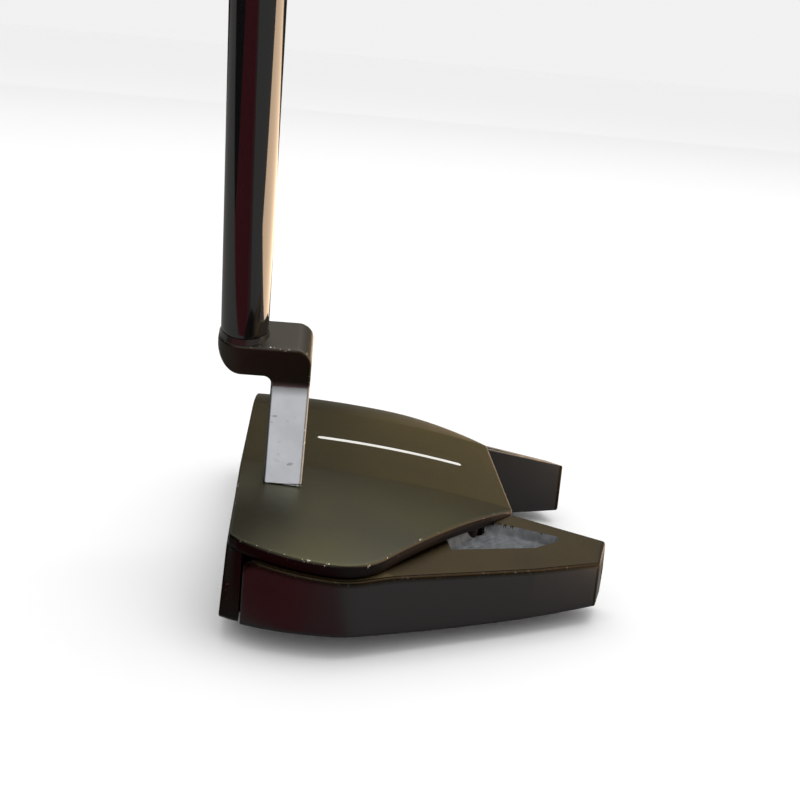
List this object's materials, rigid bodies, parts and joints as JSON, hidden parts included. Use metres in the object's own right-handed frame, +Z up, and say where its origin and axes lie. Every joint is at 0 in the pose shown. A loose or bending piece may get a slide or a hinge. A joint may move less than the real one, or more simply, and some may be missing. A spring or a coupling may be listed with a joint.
{
  "type": "mallet putter",
  "caption": "Winged mallet putter head with a crowned top plate and sight line, slanted crank neck, tapered steel shaft and flat-front grip.",
  "frame": {"origin": "middle of the flat land under the sole, where the head stands on the ground at address", "axes": "+Z up, +X towards the heel and the golfer, -Y towards the target (out of the face), +Y towards the wing tips; the shaft leans 20 degrees to +X"},
  "size_m": [0.3651, 0.0901, 0.8164],
  "materials": {
    "top_alloy": "satin",
    "wing_steel": "satin",
    "sole_alloy": "satin",
    "damping_foam": "matte",
    "insert_urethane": "matte",
    "bar_alloy": "satin",
    "adhesive_tape": "matte",
    "line_paint": "satin",
    "screw_steel": "satin",
    "weight_steel": "satin",
    "seal_rubber": "matte",
    "neck_steel": "satin",
    "epoxy": "gloss",
    "shaft_steel": "polished",
    "grip_foam": "matte",
    "grip_urethane": "matte",
    "cap_rubber": "matte"
  },
  "bodies": {
    "club": {"head_body": "top_alloy", "heel_wing": "wing_steel", "toe_wing": "wing_steel", "sole_plate": "sole_alloy", "core_filler": "damping_foam", "face_insert": "insert_urethane", "insert_bars": "bar_alloy", "insert_tape": "adhesive_tape", "sight_line": "line_paint", "heel_wing_screws": "screw_steel", "toe_wing_screws": "screw_steel", "sole_screws": "screw_steel", "hosel": "neck_steel", "hosel_screws": "screw_steel", "shaft_epoxy": "epoxy", "shaft": "shaft_steel", "grip_tape": "adhesive_tape", "grip_core": "grip_foam", "grip_skin": "grip_urethane", "grip_cap": "cap_rubber"},
    "heel_seal": {"heel_weight_ring": "seal_rubber"},
    "heel_screw_weight": {"heel_weight": "weight_steel"},
    "toe_seal": {"toe_weight_ring": "seal_rubber"},
    "toe_screw_weight": {"toe_weight": "weight_steel"}
  },
  "joints": [
    {"name": "heel_weight_travel", "type": "slide", "parent": "club", "child": "heel_seal", "axis": [0, 0, -1], "range_m": [0, 0.0071]},
    {"name": "heel_weight_turn", "type": "hinge", "parent": "heel_seal", "child": "heel_screw_weight", "pos_m": [0.04, -0.0045, 0.006], "axis": [0, 0, -1], "range_deg": [0, 2016]},
    {"name": "toe_weight_travel", "type": "slide", "parent": "club", "child": "toe_seal", "axis": [0, 0, -1], "range_m": [0, 0.0071]},
    {"name": "toe_weight_turn", "type": "hinge", "parent": "toe_seal", "child": "toe_screw_weight", "pos_m": [-0.04, -0.0045, 0.006], "axis": [0, 0, -1], "range_deg": [0, 2016]}
  ],
  "couplings": [
    {"joint": "heel_weight_travel", "follows": "heel_weight_turn", "m_per_rad": 0.00019894},
    {"joint": "toe_weight_travel", "follows": "toe_weight_turn", "m_per_rad": 0.00019894}
  ]
}
